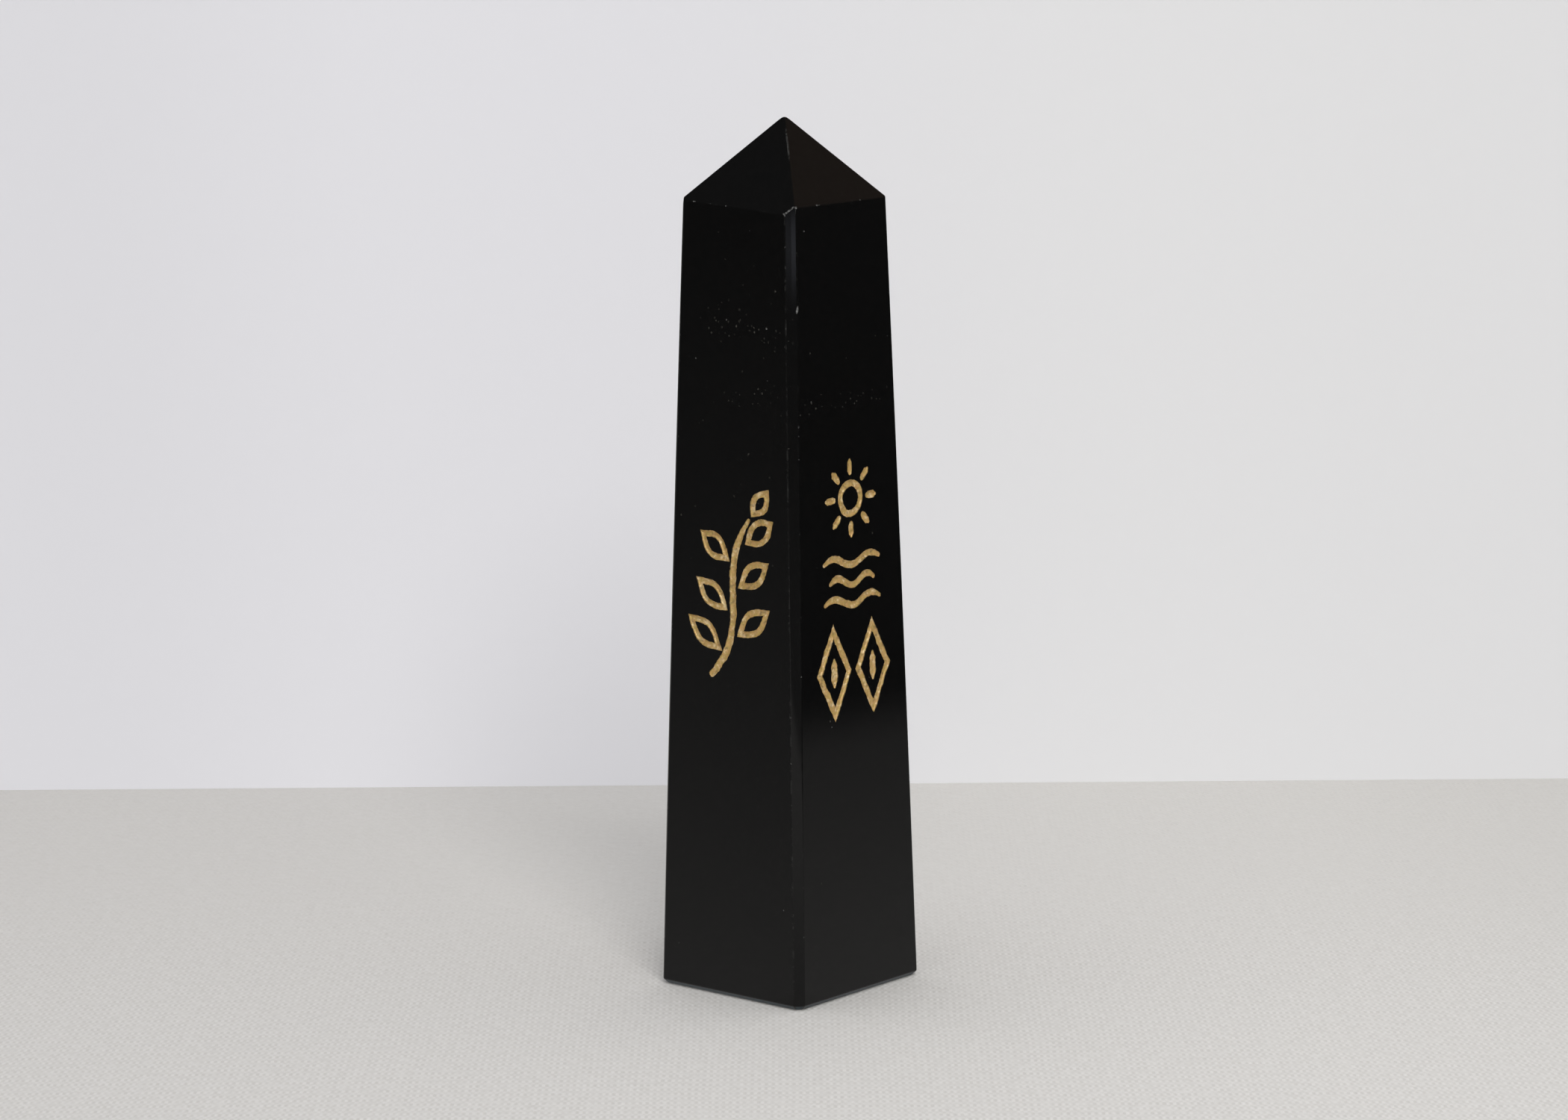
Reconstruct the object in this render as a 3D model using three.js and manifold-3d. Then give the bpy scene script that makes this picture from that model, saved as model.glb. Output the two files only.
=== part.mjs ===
// Engraved obelisk of polished black stone: a four-sided tapering column with a low point, a flat
// ground along each corner, a bevelled foot, and an ornament cut into each face and filled with
// gold paint. Nothing moves. Millimetres, +Z up, origin at the middle of the foot, front face
// towards -Y. Each groove's paint is a piece of its own.

import * as THREE from "three";
import { mergeVertices } from "three/addons/utils/BufferGeometryUtils.js";
import Module from "manifold-3d";

const wasm = await Module();
wasm.setup();

// ---- Driving dimensions ----------------------------------------------------------------------

const TOTAL_HEIGHT = 100;
const SHOULDER_HEIGHT = 91; // where the sides end and the point begins
const APEX = { x: 0.1, y: 0, z: 100.25 }; // where the point would meet if its tip weren't blunt
const FOOT = { x: 21.52, y: 22.12 }; // the section at the foot, before the bevel
const SHOULDER = { x: 16.68, y: 17.55 }; // and at the shoulder
const CORNER_FLAT_FOOT = 1.25; // width of the flat along a corner, at the foot
const CORNER_FLAT_SHOULDER = 1.33; // and at the shoulder
const FOOT_BEVEL = 0.6;

const GROOVE_DEPTH = 0.4;
const STROKE = 0.85; // width of a stroke that stands alone
const LOOP_STROKE = 0.75; // width of a stroke that closes on itself
const SPRIG_STEM = 0.95;
const PAINT_GAP = 0.04; // between the paint and the groove's walls and floor
const PAINT_RECESS = 0.06; // from the face down to the paint

const STONE = new THREE.MeshStandardMaterial({ color: 0x0b0b0c, roughness: 0.06, metalness: 0 });
const GOLD = new THREE.MeshStandardMaterial({ color: 0xc49e5c, roughness: 0.45, metalness: 0.6 });

// ---- Solids ------------------------------------------------------------------------------------

function solidOf(geometry) {
  const bare = geometry.clone();
  bare.deleteAttribute("normal");
  bare.deleteAttribute("uv");
  const merged = mergeVertices(bare);
  const vertProperties = merged.attributes.position.array;
  const triVerts = new Uint32Array(merged.index.array);
  return new wasm.Manifold(new wasm.Mesh({ numProp: 3, vertProperties, triVerts }));
}

function geometryOf(solid) {
  const { vertProperties, triVerts } = solid.getMesh();
  const shared = new THREE.BufferGeometry();
  shared.setAttribute("position", new THREE.BufferAttribute(vertProperties, 3));
  shared.setIndex(new THREE.BufferAttribute(triVerts, 1));
  const flat = shared.toNonIndexed();
  flat.computeVertexNormals();
  return flat;
}

// ---- The stone, ground from a block ------------------------------------------------------------

const UP = new THREE.Vector3(0, 0, 1);
const CORE = new THREE.Vector3(0, 0, TOTAL_HEIGHT / 2);
const WHEEL = 3 * TOTAL_HEIGHT; // the grinding wheel's side, larger than anything it cuts
const SAWN_EXTRA = 2; // how much wider the sawn block is than the foot

// The stone after its outside beyond the plane through three points is ground away.
function ground(stone, a, b, c) {
  const plane = new THREE.Plane().setFromCoplanarPoints(a, b, c);
  if (plane.distanceToPoint(CORE) > 0) plane.negate();
  const middle = plane.coplanarPoint(new THREE.Vector3());
  const wheel = new THREE.BoxGeometry(WHEEL, WHEEL, WHEEL).translate(0, 0, WHEEL / 2);
  wheel.applyQuaternion(new THREE.Quaternion().setFromUnitVectors(UP, plane.normal));
  wheel.translate(middle.x, middle.y, middle.z);
  return stone.subtract(solidOf(wheel));
}

const point = (x, y, z) => new THREE.Vector3(x, y, z);
const between = (foot, shoulder, z) => THREE.MathUtils.mapLinear(z, 0, SHOULDER_HEIGHT, foot, shoulder);

// Half the section's size across (x) or deep (y) at a height.
const halfX = (z) => between(FOOT.x, SHOULDER.x, z) / 2;
const halfY = (z) => between(FOOT.y, SHOULDER.y, z) / 2;

// Each face is described as if it were the front one, and turned about Z into its place. The point
// is ground by hand: drops is how far below the shoulder height its face ends, left and right.
const FACES = {
  front: { turn: 0, across: halfX, out: halfY, drops: [0.05, 1] },
  right: { turn: Math.PI / 2, across: halfY, out: halfX, drops: [0.25, 0.15] },
  back: { turn: Math.PI, across: halfX, out: halfY, drops: [0.96, 0.1] },
  left: { turn: -Math.PI / 2, across: halfY, out: halfX, drops: [0.1, 0.6] },
};

const turned = (face, x, y, z) => point(x, y, z).applyAxisAngle(UP, face.turn);

function groundSide(stone, face) {
  const foot = face.out(0);
  const top = face.out(SHOULDER_HEIGHT);
  return ground(stone, turned(face, -1, -foot, 0), turned(face, 1, -foot, 0),
    turned(face, 0, -top, SHOULDER_HEIGHT));
}

// The face of the point: its plane holds the apex and both ends of the shoulder line.
function groundPoint(stone, face) {
  const [leftDrop, rightDrop] = face.drops;
  const leftZ = SHOULDER_HEIGHT - leftDrop;
  const rightZ = SHOULDER_HEIGHT - rightDrop;
  return ground(stone, point(APEX.x, APEX.y, APEX.z),
    turned(face, -face.across(leftZ), -face.out(leftZ), leftZ),
    turned(face, face.across(rightZ), -face.out(rightZ), rightZ));
}

// How far a corner's flat reaches along each side from the corner, at a height.
const flatReach = (z) => between(CORNER_FLAT_FOOT, CORNER_FLAT_SHOULDER, z) / Math.SQRT2;

// The flat on the corner at the face's right-hand end.
function groundCorner(stone, face) {
  const onFace = (z) => turned(face, face.across(z) - flatReach(z), -face.out(z), z);
  const onNext = (z) => turned(face, face.across(z), flatReach(z) - face.out(z), z);
  return ground(stone, onFace(0), onNext(0), onFace(SHOULDER_HEIGHT));
}

// The bevel under a face, and the one under the corner flat at its right-hand end.
function groundFoot(stone, face) {
  const x = face.across(0);
  const y = face.out(0);
  const reach = flatReach(0) + FOOT_BEVEL * Math.SQRT2;
  const bevelled = ground(stone, turned(face, -1, -y, FOOT_BEVEL), turned(face, 1, -y, FOOT_BEVEL),
    turned(face, 0, FOOT_BEVEL - y, 0));
  return ground(bevelled, turned(face, x - flatReach(0), -y, FOOT_BEVEL),
    turned(face, x, flatReach(0) - y, FOOT_BEVEL), turned(face, x - reach, -y, 0));
}

function blankStone() {
  const block = new THREE.BoxGeometry(FOOT.x + SAWN_EXTRA, FOOT.y + SAWN_EXTRA, TOTAL_HEIGHT);
  let stone = solidOf(block.translate(0, 0, TOTAL_HEIGHT / 2));
  for (const step of [groundSide, groundCorner, groundPoint, groundFoot])
    for (const face of Object.values(FACES)) stone = step(stone, face);
  return stone;
}

// A face's own frame: X to the right, Y up the face from its foot, Z out of the stone.
function faceFrame(face) {
  const lean = Math.atan2(face.out(0) - face.out(SHOULDER_HEIGHT), SHOULDER_HEIGHT);
  const turntable = new THREE.Group();
  turntable.rotation.z = face.turn;
  const frame = new THREE.Group();
  frame.position.y = -face.out(0);
  frame.rotation.x = Math.PI / 2 - lean;
  turntable.add(frame);
  turntable.updateMatrixWorld(true);
  return { turntable, frame };
}

// ---- Strokes -----------------------------------------------------------------------------------

const vec = (x, y) => new THREE.Vector2(x, y);

// From a point of a line to the side of a band of half width 1, square to the line there, and
// longer at a corner so that the band keeps its width.
function sideways(line, i, closed) {
  const n = line.length;
  const before = closed || i > 0 ? line[i].clone().sub(line[(i + n - 1) % n]).normalize() : null;
  const after = closed || i < n - 1 ? line[(i + 1) % n].clone().sub(line[i]).normalize() : null;
  const ahead = (before ?? after).clone().add(after ?? before).normalize();
  const corner = ahead.dot(after ?? before);
  return vec(-ahead.y, ahead.x).divideScalar(corner);
}

const CAP_STEPS = 4;

// Round end of a stroke: from one side of its last point to the other, the far way round.
function cap(centre, side, radius) {
  const points = [];
  for (let k = 1; k < CAP_STEPS; k++) {
    const angle = (-Math.PI * k) / CAP_STEPS;
    const spoke = side.clone().normalize().rotateAround(vec(0, 0), angle);
    points.push(centre.clone().addScaledVector(spoke, radius));
  }
  return points;
}

// An open stroke. taper is the share of the width that is left at its two ends.
function stroke(name, line, width, taper = [0.6, 0.6]) {
  const last = line.length - 1;
  const half = (i, inset) => {
    const t = i / last;
    const full = Math.min(1, taper[0] + 3 * t, taper[1] + 3 * (1 - t));
    return (width * full) / 2 - inset;
  };
  const outline = (inset) => {
    const side = line.map((_, i) => sideways(line, i, false));
    const edge = (sign) => line.map((p, i) => p.clone().addScaledVector(side[i], sign * half(i, inset)));
    const end = cap(line[last], side[last], half(last, inset));
    const start = cap(line[0], side[0].clone().negate(), half(0, inset));
    return new THREE.Shape([...edge(1), ...end, ...edge(-1).reverse(), ...start]);
  };
  return { name, outline };
}

// A closed stroke, such as a ring.
function loop(name, line, width) {
  const side = line.map((_, i) => sideways(line, i, true));
  const outline = (inset) => {
    const half = width / 2 - inset;
    const edge = (sign) => line.map((p, i) => p.clone().addScaledVector(side[i], sign * half));
    const shape = new THREE.Shape(edge(-1));
    shape.holes.push(new THREE.Path(edge(1)));
    return shape;
  };
  return { name, outline };
}

// ---- Lines of the ornaments, in a face's frame -------------------------------------------------

const spaced = (count, make) => Array.from({ length: count }, (_, i) => make(i));
const turnedBy = (p, origin, angle) => p.clone().rotateAround(origin, angle);

const straight = (from, to) => [from, from.clone().lerp(to, 1 / 3), from.clone().lerp(to, 2 / 3), to];

function ring(centre, radius, count) {
  return spaced(count, (i) => {
    const angle = (2 * Math.PI * i) / count;
    return vec(centre.x + radius * Math.cos(angle), centre.y + radius * Math.sin(angle));
  });
}

// A pointed oval from its base at root, pointing up and then turned by an angle.
function pointedOval(root, length, width, angle) {
  const half = 4;
  const flank = (sign) => spaced(half, (i) => {
    const t = i / half;
    return vec(root.x + (sign * width * Math.sin(Math.PI * t)) / 2, root.y + length * t);
  });
  const tip = vec(root.x, root.y + length);
  const up = flank(1);
  const down = flank(-1).slice(1).reverse();
  return [...up, tip, ...down].map((p) => turnedBy(p, root, angle));
}

const lozenge = (centre, halfWidth, halfHeight) => [
  vec(centre.x, centre.y - halfHeight),
  vec(centre.x + halfWidth, centre.y),
  vec(centre.x, centre.y + halfHeight),
  vec(centre.x - halfWidth, centre.y),
];

const WAVE_HEIGHT = 0.5;
const WAVE_PERIODS = 1.5;

function wave(middle, length) {
  const count = 13;
  return spaced(count, (i) => {
    const t = i / (count - 1);
    const rise = WAVE_HEIGHT * Math.sin(2 * Math.PI * WAVE_PERIODS * t);
    return vec(middle.x + (t - 0.5) * length, middle.y + rise);
  });
}

function arc(centre, radius, from, to, count) {
  return spaced(count, (i) => {
    const angle = THREE.MathUtils.lerp(from, to, i / (count - 1));
    return vec(centre.x + radius * Math.cos(angle), centre.y + radius * Math.sin(angle));
  });
}

const degrees = THREE.MathUtils.degToRad;

// Waves under one another, each with its own width and a pitch below the one before.
function waves(name, top, widths, pitch) {
  return widths.map((width, i) => {
    const line = wave(vec(top.x, top.y - pitch * i), width);
    return stroke(`${name}_${i + 1}`, line, STROKE);
  });
}

// ---- The four ornaments ------------------------------------------------------------------------

const LEAF_LEAN = degrees(54); // of the sprig's leaves, to either side

// Front: a leafy sprig.
function sprig() {
  const stem = new THREE.CubicBezierCurve(vec(-2.6, 37.4), vec(3.4, 43), vec(-2.4, 49), vec(2.6, 55.4));
  const strokes = [stroke("sprig_stem", stem.getPoints(12), SPRIG_STEM, [1, 0.5])];
  const leaves = 6;
  const leafWidth = 2.2;
  const leafPitch = 0.15; // share of the stem from one leaf to the next
  const standOff = 1.25; // from the stem's middle line to a leaf's base
  for (let i = 0; i < leaves; i++) {
    const t = leafPitch * (i + 1);
    const sign = i % 2 === 0 ? 1 : -1;
    const ahead = stem.getTangent(t);
    const offset = vec(-ahead.y, ahead.x).multiplyScalar(sign * standOff);
    const root = stem.getPoint(t).add(offset);
    const length = 5 - 0.2 * i;
    const oval = pointedOval(root, length, leafWidth, sign * LEAF_LEAN);
    strokes.push(loop(`sprig_leaf_${i + 1}`, oval, LOOP_STROKE));
  }
  const tip = stem.getPoint(1);
  const ahead = stem.getTangent(1);
  const budGap = 1.05; // from the stem's end to the bud's base
  const bud = tip.clone().addScaledVector(ahead, budGap);
  const lean = Math.atan2(-ahead.x, ahead.y);
  strokes.push(loop("sprig_bud", pointedOval(bud, 3.1, 1.8, lean), LOOP_STROKE));
  return strokes;
}

// Right: a sun over three waves and two lozenges.
function sunOverWaves() {
  const centre = vec(0.2, 57.4);
  const strokes = [loop("sun_ring", ring(centre, 1.75, 16), STROKE)];
  const rays = 8;
  const rayStart = 2.95; // from the sun's centre
  const rayEnd = 4.3;
  for (let i = 0; i < rays; i++) {
    const angle = (2 * Math.PI * i) / rays;
    const from = turnedBy(vec(centre.x, centre.y + rayStart), centre, -angle);
    const to = turnedBy(vec(centre.x, centre.y + rayEnd), centre, -angle);
    strokes.push(stroke(`sun_ray_${i + 1}`, straight(from, to), STROKE, [0.8, 0.5]));
  }
  strokes.push(...waves("wave", vec(0.1, 50.3), [9.6, 7.6, 9.6], 2.3));
  const seedReach = 1.5; // from a lozenge's middle to its seed's end
  const seedWidth = 1.1;
  for (const [side, x] of [["left", -3.4], ["right", 3.4]]) {
    const middle = vec(x, 37.8);
    const seed = straight(vec(x, middle.y - seedReach), vec(x, middle.y + seedReach));
    strokes.push(loop(`lozenge_${side}`, lozenge(middle, 2.6, 4.8), STROKE));
    strokes.push(stroke(`seed_${side}`, seed, seedWidth, [0.35, 0.35]));
  }
  return strokes;
}

// Back: a rosette over two waves.
function rosetteOverWaves() {
  const heart = vec(0, 52.6);
  const rootReach = 2.5;
  const tipReach = 6;
  const petals = 8;
  const petalWidth = 1.9;
  const strokes = [loop("rosette_ring", ring(heart, 1.15, 12), LOOP_STROKE)];
  for (let i = 0; i < petals; i++) {
    const angle = (-2 * Math.PI * i) / petals;
    const root = turnedBy(vec(heart.x, heart.y + rootReach), heart, angle);
    const oval = pointedOval(root, tipReach - rootReach, petalWidth, angle);
    strokes.push(loop(`rosette_petal_${i + 1}`, oval, LOOP_STROKE));
  }
  strokes.push(...waves("pool_wave", vec(0, 42.4), [11, 7.6], 2.4));
  return strokes;
}

// Left: a moon and stars over hills and water.
function moonOverHills() {
  const moon = arc(vec(1.9, 56.6), 2.5, degrees(60), degrees(285), 12);
  const moonWidth = 1;
  const starWidth = 1;
  const starReach = 0.2; // from a star's middle to the end of its short stroke
  const strokes = [stroke("moon", moon, moonWidth, [0.35, 0.35])];
  const stars = [vec(-4.3, 58), vec(-2.3, 54.6), vec(-5.4, 54)];
  stars.forEach((star, i) => {
    const line = straight(vec(star.x, star.y - starReach), vec(star.x, star.y + starReach));
    strokes.push(stroke(`star_${i + 1}`, line, starWidth, [0.8, 0.8]));
  });
  const high = [vec(-6.1, 43.4), vec(-4, 47.5), vec(-1.9, 51.6), vec(-0.2, 48.5), vec(1.5, 45.4)];
  const low = [vec(1.6, 48.5), vec(2.9, 50.2), vec(4.5, 46.9), vec(6.1, 43.6)];
  strokes.push(stroke("hill_high", high, STROKE));
  strokes.push(stroke("hill_low", low, STROKE));
  strokes.push(...waves("lake_wave", vec(0, 41), [11.4, 8.8, 6.2], 2.3));
  return strokes;
}

// ---- Assembly ----------------------------------------------------------------------------------

const ABOVE_FACE = 0.5; // how far a groove's cutter stands out of the face

function cutter(outline) {
  const depth = GROOVE_DEPTH + ABOVE_FACE;
  const geometry = new THREE.ExtrudeGeometry(outline(0), { depth, bevelEnabled: false });
  return geometry.translate(0, 0, -GROOVE_DEPTH);
}

function paint(name, outline) {
  const depth = GROOVE_DEPTH - PAINT_GAP - PAINT_RECESS;
  const geometry = new THREE.ExtrudeGeometry(outline(PAINT_GAP), { depth, bevelEnabled: false });
  const mesh = new THREE.Mesh(geometry, GOLD);
  mesh.name = name;
  mesh.position.z = PAINT_GAP - GROOVE_DEPTH;
  return mesh;
}

const ORNAMENTS = {
  front: sprig(),
  right: sunOverWaves(),
  back: rosetteOverWaves(),
  left: moonOverHills(),
};

const obelisk = new THREE.Group();
let stone = blankStone();
for (const [side, strokes] of Object.entries(ORNAMENTS)) {
  const { turntable, frame } = faceFrame(FACES[side]);
  for (const { name, outline } of strokes) {
    stone = stone.subtract(solidOf(cutter(outline).applyMatrix4(frame.matrixWorld)));
    frame.add(paint(`gold_${name}`, outline));
  }
  obelisk.add(turntable);
}
const body = new THREE.Mesh(geometryOf(stone), STONE);
body.name = "stone_obelisk";
obelisk.add(body);

export default obelisk;
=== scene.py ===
"""An engraved obelisk of polished black stone, its grooves filled with gold paint, on a pale cloth.

Shapes are worked out in millimetres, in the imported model's own frame, and each mesh is scaled to
metres when it is made. The stone and the paint share one set of stroke lines, so that every
filling lies in its groove.
"""

import math
import random

import bmesh
import bpy
import numpy as np
from mathutils import Matrix, Vector, noise


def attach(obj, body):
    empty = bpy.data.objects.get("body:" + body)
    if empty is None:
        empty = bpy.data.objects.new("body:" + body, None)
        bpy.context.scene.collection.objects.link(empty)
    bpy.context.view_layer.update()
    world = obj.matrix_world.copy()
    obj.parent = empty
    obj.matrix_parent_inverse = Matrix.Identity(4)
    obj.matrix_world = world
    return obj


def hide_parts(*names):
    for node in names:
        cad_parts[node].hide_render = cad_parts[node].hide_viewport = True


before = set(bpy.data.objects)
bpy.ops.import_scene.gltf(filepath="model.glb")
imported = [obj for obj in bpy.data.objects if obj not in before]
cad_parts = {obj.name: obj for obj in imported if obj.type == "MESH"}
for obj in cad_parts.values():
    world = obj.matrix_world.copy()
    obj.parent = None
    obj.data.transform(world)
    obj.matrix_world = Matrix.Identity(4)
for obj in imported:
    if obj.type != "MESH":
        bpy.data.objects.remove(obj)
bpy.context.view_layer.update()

MM = 0.001
UP = Vector((0, 0, 1))
scene = bpy.context.scene

# ---- Camera ----

CAMERA_PLACE = Vector((0.3337, -0.39429, 0.13656))
CAMERA_TURN = math.radians(40.2808)  # round the vertical, from looking along +Y
CAMERA_TILT = 0.16727  # radians, down
CAMERA_ROLL = -0.0075
CAMERA_LENS = 104.98

VIEW_ALONG = Vector((-math.sin(CAMERA_TURN), math.cos(CAMERA_TURN), 0))
VIEW_RIGHT = VIEW_ALONG.cross(UP)


def place_camera():
    ahead = VIEW_ALONG * math.cos(CAMERA_TILT) - UP * math.sin(CAMERA_TILT)
    up = VIEW_RIGHT.cross(ahead)
    sine, cosine = math.sin(CAMERA_ROLL), math.cos(CAMERA_ROLL)
    right = VIEW_RIGHT * cosine + up * sine
    up = up * cosine - VIEW_RIGHT * sine
    data = bpy.data.cameras.new("camera")
    data.lens = CAMERA_LENS
    data.sensor_width = 36
    data.clip_start = 0.01
    data.clip_end = 20
    camera = bpy.data.objects.new("camera", data)
    turn = Matrix((right, up, -ahead)).transposed().to_4x4()
    camera.matrix_world = Matrix.Translation(CAMERA_PLACE) @ turn
    scene.collection.objects.link(camera)
    scene.camera = camera


place_camera()

# ---- The stone's sizes, in millimetres ----

SHOULDER_HEIGHT = 91
APEX = Vector((0.1, 0, 100.25))  # where the point would meet if its tip weren't blunt
FOOT_X, FOOT_Y = 21.52, 22.12
SHOULDER_X, SHOULDER_Y = 16.68, 17.55
CORNER_FLAT_FOOT, CORNER_FLAT_SHOULDER = 1.25, 1.33
FOOT_BEVEL = 0.6
TIP_RADIUS = 0.6
SHOULDER_ROUND = 0.5  # worn radius where a ridge runs into a corner flat
FLAT_BULGE = 0.075  # how far a corner flat's surface has turned at its borders, in radians
CROWN = 0.07  # how far the sides bow outwards halfway up
EDGE_ROUND = 0.11  # worn edges, from the edge to where the flat begins

GROOVE_DEPTH = 0.36
STROKE, LOOP_STROKE, SPRIG_STEM = 0.85, 0.75, 0.95


def mix(a, b, t):
    return a + (b - a) * t


def half_x(z):
    return mix(FOOT_X, SHOULDER_X, z / SHOULDER_HEIGHT) / 2


def half_y(z):
    return mix(FOOT_Y, SHOULDER_Y, z / SHOULDER_HEIGHT) / 2


def flat_reach(z):
    return mix(CORNER_FLAT_FOOT, CORNER_FLAT_SHOULDER, z / SHOULDER_HEIGHT) / math.sqrt(2)


class Face:
    """One side of the stone, described as if it were the front one and turned about Z."""

    def __init__(self, turn, across, out, drops, step):
        self.turn = Matrix.Rotation(turn, 3, "Z")
        self.across, self.out = across, out
        self.drops = drops  # how far below the shoulder height its point ends, left and right
        self.step = step  # millimetres between a stroke's cross-sections
        lean = math.atan2(out(0) - out(SHOULDER_HEIGHT), SHOULDER_HEIGHT)
        stand = Matrix.Translation((0, -out(0), 0)) @ Matrix.Rotation(math.pi / 2 - lean, 4, "X")
        self.frame = self.turn.to_4x4() @ stand  # X right, Y up the face, Z out of the stone

    def at(self, x, y, z):
        return self.turn @ Vector((x, y, z))

    def shoulder(self, share):
        """A place on the shoulder line, from -1 at its left end to 1 at its right one."""
        z = SHOULDER_HEIGHT - mix(*self.drops, (share + 1) / 2)
        return self.at(share * self.across(z), -self.out(z), z)


FACES = {
    "front": Face(0, half_x, half_y, (0.05, 1), 0.11),
    "right": Face(math.pi / 2, half_y, half_x, (0.25, 0.15), 0.11),
    "back": Face(math.pi, half_x, half_y, (0.96, 0.1), 0.16),
    "left": Face(-math.pi / 2, half_y, half_x, (0.1, 0.6), 0.16),
}


def along_side(z):
    """Which heights are on the sides, and how far each is from halfway up, from -1 to 1."""
    return (z > 0) & (z < SHOULDER_HEIGHT), 2 * z / SHOULDER_HEIGHT - 1


def crown_stretch(z):
    """The factors that bow the straight sides outwards at each height, across (x) and deep (y)."""
    on_sides, t = along_side(z)
    rise = np.where(on_sides, CROWN * (1 - t * t), 0)
    return 1 + rise / half_x(z), 1 + rise / half_y(z)


def crown_slope(z):
    on_sides, t = along_side(z)
    return np.where(on_sides, -4 * CROWN * t / SHOULDER_HEIGHT, 0)


def crowned(points):
    """The points after the sides' slight bow is given to the straight-sided shape."""
    points = np.array(points, float).reshape(-1, 3)
    stretch_x, stretch_y = crown_stretch(points[:, 2])
    points[:, 0] *= stretch_x
    points[:, 1] *= stretch_y
    return points


# ---- Making objects ----


def mesh_object(name, points, faces, materials=()):
    """A mesh object in metres from points in millimetres."""
    mesh = bpy.data.meshes.new(name)
    mesh.from_pydata([tuple(p) for p in np.array(points) * MM], [], faces)
    for material in materials:
        mesh.materials.append(material)
    piece = bpy.data.objects.new(name, mesh)
    scene.collection.objects.link(piece)
    return piece


def close_outward(mesh):
    """Turns every face of a closed mesh outwards."""
    work = bmesh.new()
    work.from_mesh(mesh)
    bmesh.ops.recalc_face_normals(work, faces=work.faces)
    work.to_mesh(mesh)
    work.free()


def cut_out(stone, tool):
    """Cuts the tool out of the stone, and keeps each one's materials."""
    change = stone.modifiers.new("cut", "BOOLEAN")
    change.object = tool
    change.operation = "DIFFERENCE"
    change.solver = "MANIFOLD"
    change.material_mode = "TRANSFER"
    graph = bpy.context.evaluated_depsgraph_get()
    result = bpy.data.meshes.new_from_object(stone.evaluated_get(graph))
    stone.modifiers.remove(change)
    stone.data = result
    bpy.data.objects.remove(tool)


# ---- Node helpers ----


class Nodes:
    """Short ways to write a material's nodes."""

    def __init__(self, tree):
        self.tree = tree
        tree.nodes.clear()

    def add(self, kind, inputs=(), **settings):
        node = self.tree.nodes.new(kind)
        for key, value in settings.items():
            setattr(node, key, value)
        for key, value in dict(inputs).items():
            self.set(node.inputs[key], value)
        return node

    def set(self, socket, value):
        if isinstance(value, bpy.types.NodeSocket):
            self.tree.links.new(value, socket)
        else:
            socket.default_value = value

    def math(self, operation, a, b=0.0):
        return self.add("ShaderNodeMath", {0: a, 1: b}, operation=operation).outputs[0]

    def plus(self, a, b):
        return self.math("ADD", a, b)

    def minus(self, a, b):
        return self.math("SUBTRACT", a, b)

    def times(self, a, b):
        return self.math("MULTIPLY", a, b)

    def over(self, a, b):
        return self.math("DIVIDE", a, b)

    def dot(self, a, b):
        return self.vector("DOT_PRODUCT", a, tuple(b))

    def vector(self, operation, a, b=(0, 0, 0)):
        node = self.add("ShaderNodeVectorMath", {0: a, 1: b}, operation=operation)
        gives_number = operation in ("DOT_PRODUCT", "LENGTH", "DISTANCE")
        return node.outputs["Value" if gives_number else "Vector"]

    def noise(self, at, scale, detail=2.0, roughness=0.5):
        inputs = {"Vector": at, "Scale": scale, "Detail": detail, "Roughness": roughness}
        return self.add("ShaderNodeTexNoise", inputs).outputs["Fac"]

    def cells(self, at, scale):
        return self.add("ShaderNodeTexVoronoi", {"Vector": at, "Scale": scale})

    def ramp(self, value, low, high, to_low=0.0, to_high=1.0, smooth=True):
        inputs = {"Value": value, "From Min": low, "From Max": high,
                  "To Min": to_low, "To Max": to_high}
        kind = "SMOOTHSTEP" if smooth else "LINEAR"
        return self.add("ShaderNodeMapRange", inputs, interpolation_type=kind).outputs["Result"]

    def blend(self, share, a, b, kind="MIX"):
        node = self.add("ShaderNodeMix", {0: share, 6: a, 7: b}, data_type="RGBA", blend_type=kind,
                        clamp_factor=True)
        return node.outputs[2]

    def place(self):
        return self.add("ShaderNodeTexCoord").outputs["Object"]

    def bump(self, height, distance, strength):
        inputs = {"Height": height, "Distance": distance, "Strength": strength}
        return self.add("ShaderNodeBump", inputs).outputs["Normal"]

    def surface(self, **inputs):
        self.out(self.add("ShaderNodeBsdfPrincipled", inputs).outputs[0])

    def out(self, shader, target="ShaderNodeOutputMaterial"):
        end = self.add(target)
        self.tree.links.new(shader, end.inputs["Surface"])


def material(name):
    made = bpy.data.materials.new(name)
    made.use_nodes = True
    return made, Nodes(made.node_tree)


def grey(level, warm=0.0):
    return (level * (1 + warm), level, level * (1 - warm), 1)


# ---- Materials of the stone and the paint ----

BLACK = 0.0034
SPECULAR = 0.25  # less than a full gloss, as the polish shows its surroundings only dimly


def polished(n, at, colour, rough):
    """The polish: faint waves left by the wheel, and the odd smudge."""
    smudge = n.ramp(n.noise(at, 160, 4.0, 0.6), 0.5, 0.75)
    rough = n.plus(rough, n.times(smudge, 0.03))
    n.surface(**{"Base Color": colour, "Roughness": rough, "IOR": 1.5,
                 "Specular IOR Level": SPECULAR,
                 "Normal": n.bump(n.noise(at, 120, 1.0), 0.00002, 0.35)})


def black_body(n, at):
    cloud = n.noise(at, 900, 3.0)
    return n.blend(n.ramp(cloud, 0.35, 0.7), grey(BLACK), grey(BLACK * 1.12, 0.02))


def near(n, value, middle, core, reach):
    """1 where a value lies within core of a middle, falling to 0 at its reach."""
    return n.ramp(n.math("ABSOLUTE", n.minus(value, middle)), core, reach, 1.0, 0.0)


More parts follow.
